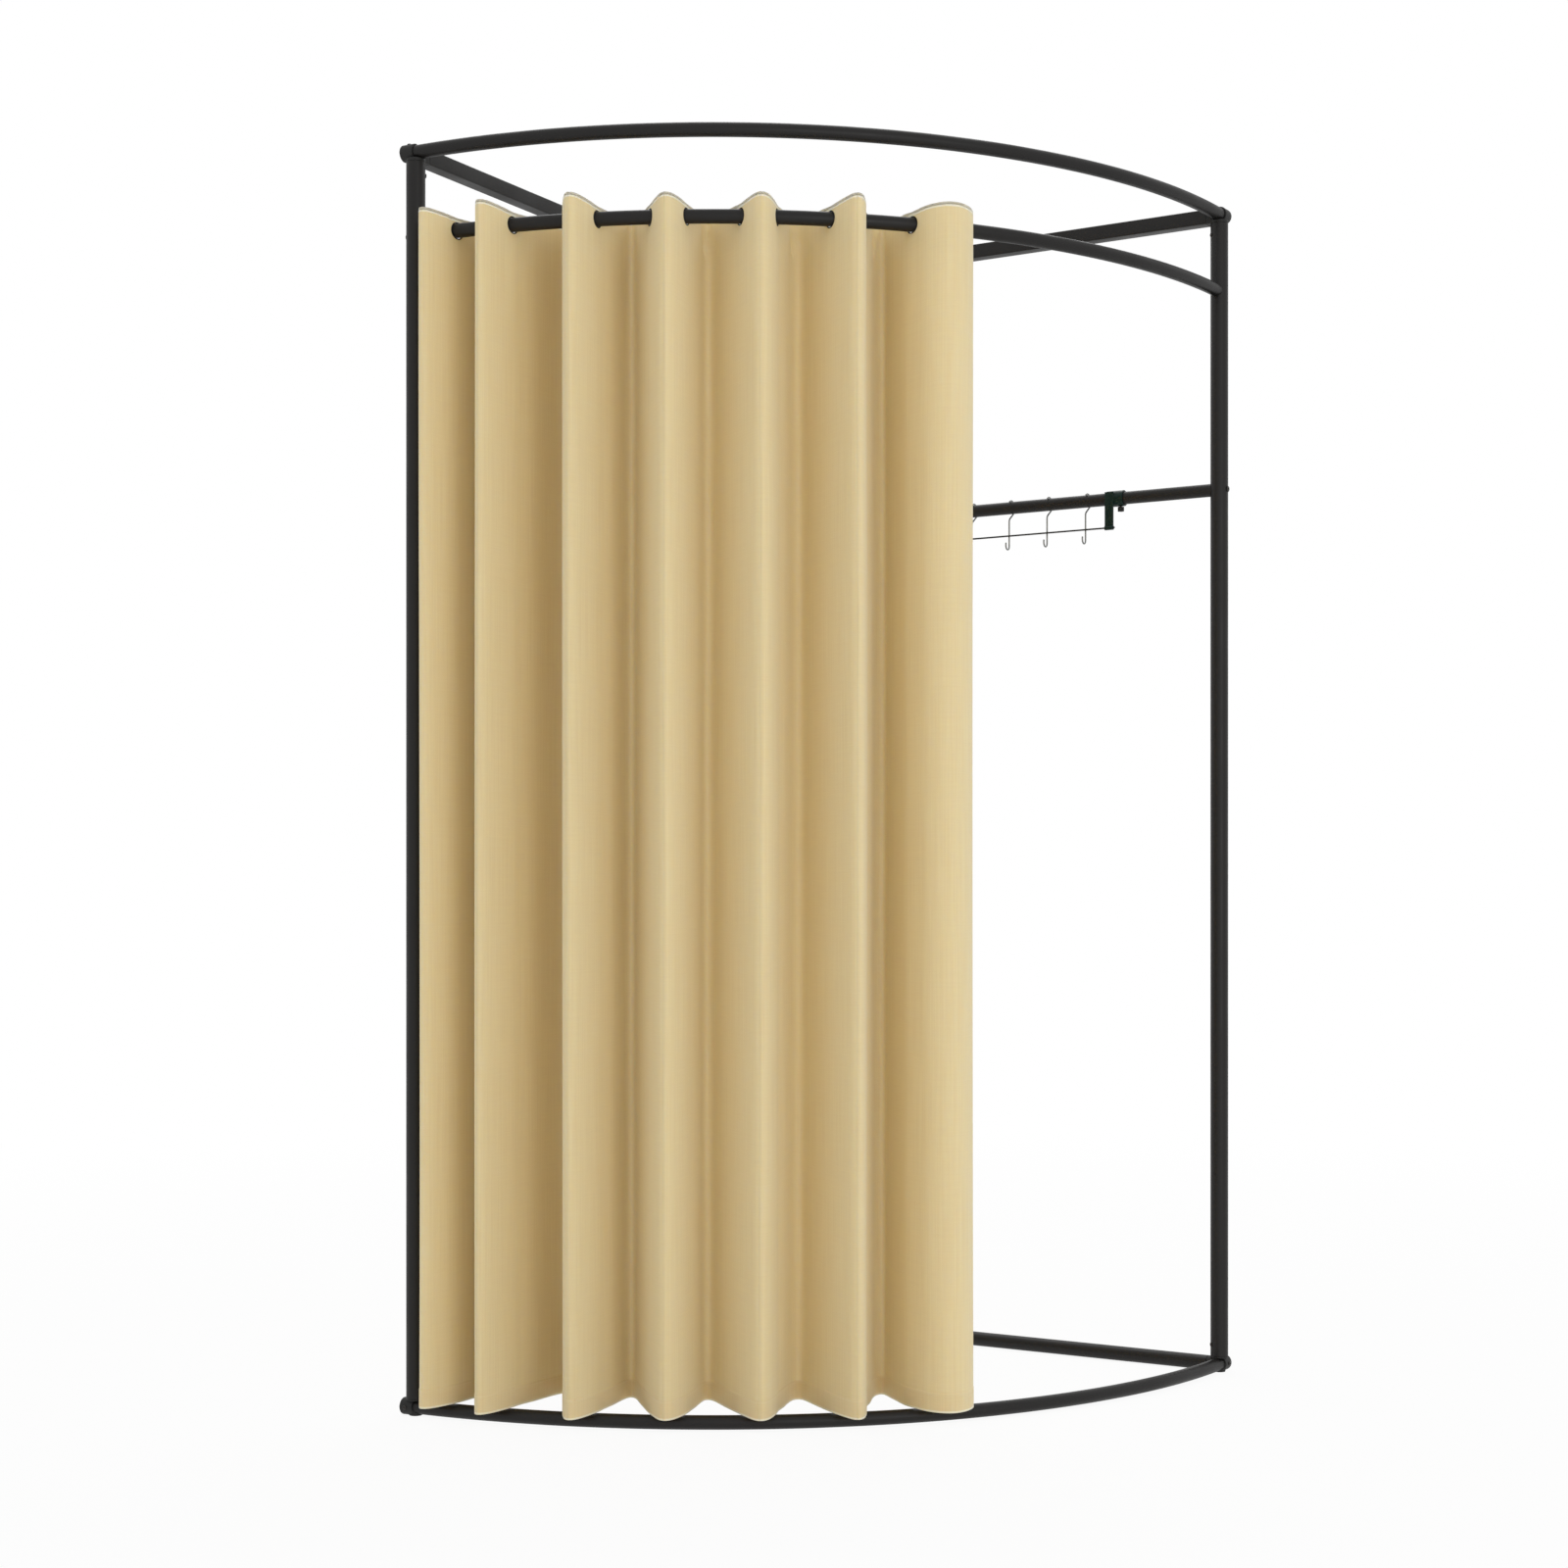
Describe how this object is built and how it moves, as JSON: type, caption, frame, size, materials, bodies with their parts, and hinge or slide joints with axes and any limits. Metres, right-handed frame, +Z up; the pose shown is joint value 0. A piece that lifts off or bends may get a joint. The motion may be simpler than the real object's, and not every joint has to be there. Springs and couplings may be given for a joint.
{
  "type": "portable fitting room",
  "caption": "Quarter-round tube-framed changing cubicle with an eyelet curtain on a bowed rail and a hook rack on its side bar.",
  "frame": {"origin": "middle of the outline in plan, on the floor", "axes": "+Z up; the bowed front with the curtain faces -Y and the back corner points to +Y; +X is to the right seen from the front"},
  "size_m": [1.4216, 1.0264, 2.0017],
  "materials": {
    "frame_paint": "satin black powder coat",
    "black_plastic": "moulded, fine grain",
    "screw_steel": "blackened",
    "hook_wire": "bright drawn wire",
    "bracket_paint": "satin dark green",
    "curtain_cloth": "matt plain weave, khaki beige"
  },
  "bodies": {
    "frame": {"back_post": "frame_paint", "bottom_back_fitting": "black_plastic", "bottom_back_post_screw": "screw_steel", "bottom_bow": "frame_paint", "bottom_left_bow_screw": "screw_steel", "bottom_left_fitting": "black_plastic", "bottom_left_post_screw": "screw_steel", "bottom_right_bow_screw": "screw_steel", "bottom_right_fitting": "black_plastic", "bottom_right_post_screw": "screw_steel", "curtain_rail": "frame_paint", "front_hanging_bar_bolt": "screw_steel", "front_hanging_bar_plug": "black_plastic", "hanging_bar": "frame_paint", "left_bottom_bar": "frame_paint", "left_post": "frame_paint", "left_rail_bolt": "screw_steel", "left_rail_plug": "black_plastic", "left_top_bar": "frame_paint", "rack_bracket_front": "bracket_paint", "rack_bracket_rear": "bracket_paint", "rack_rod": "hook_wire", "rear_hanging_bar_bolt": "screw_steel", "rear_hanging_bar_plug": "black_plastic", "right_bottom_bar": "frame_paint", "right_post": "frame_paint", "right_rail_bolt": "screw_steel", "right_rail_plug": "black_plastic", "right_top_bar": "frame_paint", "top_back_fitting": "black_plastic", "top_back_post_screw": "screw_steel", "top_bow": "frame_paint", "top_left_bow_screw": "screw_steel", "top_left_fitting": "black_plastic", "top_left_post_screw": "screw_steel", "top_right_bow_screw": "screw_steel", "top_right_fitting": "black_plastic", "top_right_post_screw": "screw_steel"},
    "pleat_1": {"curtain_pleat_1": "curtain_cloth", "curtain_valley_1": "curtain_cloth"},
    "pleat_2": {"curtain_pleat_2": "curtain_cloth", "curtain_valley_2": "curtain_cloth"},
    "pleat_3": {"curtain_pleat_3": "curtain_cloth", "curtain_valley_3": "curtain_cloth"},
    "pleat_4": {"curtain_pleat_4": "curtain_cloth", "curtain_valley_4": "curtain_cloth"},
    "pleat_5": {"curtain_pleat_5": "curtain_cloth", "curtain_valley_5": "curtain_cloth"},
    "pleat_6": {"curtain_pleat_6": "curtain_cloth", "curtain_valley_6": "curtain_cloth"},
    "pleat_7": {"curtain_pleat_7": "curtain_cloth"},
    "thumb_screw_front": {"rack_thumb_screw_front": "black_plastic"},
    "thumb_screw_rear": {"rack_thumb_screw_rear": "black_plastic"},
    "hook_1": {"hook_1": "hook_wire"},
    "hook_2": {"hook_2": "hook_wire"},
    "hook_3": {"hook_3": "hook_wire"},
    "hook_4": {"hook_4": "hook_wire"},
    "hook_5": {"hook_5": "hook_wire"}
  },
  "joints": [
    {"name": "pleat_1_slide", "type": "hinge", "parent": "frame", "child": "pleat_1", "pos_m": [0, 0.57405, 1.854], "axis": [0, 0, 1], "range_deg": [0, 1]},
    {"name": "pleat_2_slide", "type": "hinge", "parent": "pleat_1", "child": "pleat_2", "pos_m": [0, 0.57405, 1.854], "axis": [0, 0, 1], "range_deg": [-1.64, 2.34], "deforming": ["curtain_valley_1"]},
    {"name": "pleat_3_slide", "type": "hinge", "parent": "pleat_2", "child": "pleat_3", "pos_m": [0, 0.57405, 1.854], "axis": [0, 0, 1], "range_deg": [-4, 5.7], "deforming": ["curtain_valley_2"]},
    {"name": "pleat_4_slide", "type": "hinge", "parent": "pleat_3", "child": "pleat_4", "pos_m": [0, 0.57405, 1.854], "axis": [0, 0, 1], "range_deg": [-4, 5.7], "deforming": ["curtain_valley_3"]},
    {"name": "pleat_5_slide", "type": "hinge", "parent": "pleat_4", "child": "pleat_5", "pos_m": [0, 0.57405, 1.854], "axis": [0, 0, 1], "range_deg": [-4, 5.7], "deforming": ["curtain_valley_4"]},
    {"name": "pleat_6_slide", "type": "hinge", "parent": "pleat_5", "child": "pleat_6", "pos_m": [0, 0.57405, 1.854], "axis": [0, 0, 1], "range_deg": [-4, 5.7], "deforming": ["curtain_valley_5"]},
    {"name": "pleat_7_slide", "type": "hinge", "parent": "pleat_6", "child": "pleat_7", "pos_m": [0, 0.57405, 1.854], "axis": [0, 0, 1], "range_deg": [-3.52, 5.02], "deforming": ["curtain_valley_6"]},
    {"name": "hook_1_slide", "type": "slide", "parent": "frame", "child": "hook_1", "axis": [-0.7071, 0.7071, 0], "range_m": [-0.03, 0.03]},
    {"name": "hook_2_slide", "type": "slide", "parent": "frame", "child": "hook_2", "axis": [-0.7071, 0.7071, 0], "range_m": [-0.03, 0.03]},
    {"name": "hook_3_slide", "type": "slide", "parent": "frame", "child": "hook_3", "axis": [-0.7071, 0.7071, 0], "range_m": [-0.03, 0.03]},
    {"name": "hook_4_slide", "type": "slide", "parent": "frame", "child": "hook_4", "axis": [-0.7071, 0.7071, 0], "range_m": [-0.03, 0.03]},
    {"name": "hook_5_slide", "type": "slide", "parent": "frame", "child": "hook_5", "axis": [-0.7071, 0.7071, 0], "range_m": [-0.03, 0.03]},
    {"name": "thumb_screw_front_turn", "type": "hinge", "parent": "frame", "child": "thumb_screw_front", "pos_m": [0.55791, -0.06085, 1.494], "axis": [0, 0, 1], "range_deg": [-180, 180]},
    {"name": "thumb_screw_rear_turn", "type": "hinge", "parent": "frame", "child": "thumb_screw_rear", "pos_m": [0.25951, 0.23755, 1.494], "axis": [0, 0, 1], "range_deg": [-180, 180]}
  ],
  "couplings": [
    {"joint": "pleat_2_slide", "follows": "pleat_3_slide", "ratio": 0.41},
    {"joint": "pleat_4_slide", "follows": "pleat_3_slide", "ratio": 1},
    {"joint": "pleat_5_slide", "follows": "pleat_3_slide", "ratio": 1},
    {"joint": "pleat_6_slide", "follows": "pleat_3_slide", "ratio": 1},
    {"joint": "pleat_7_slide", "follows": "pleat_3_slide", "ratio": 0.88}
  ]
}
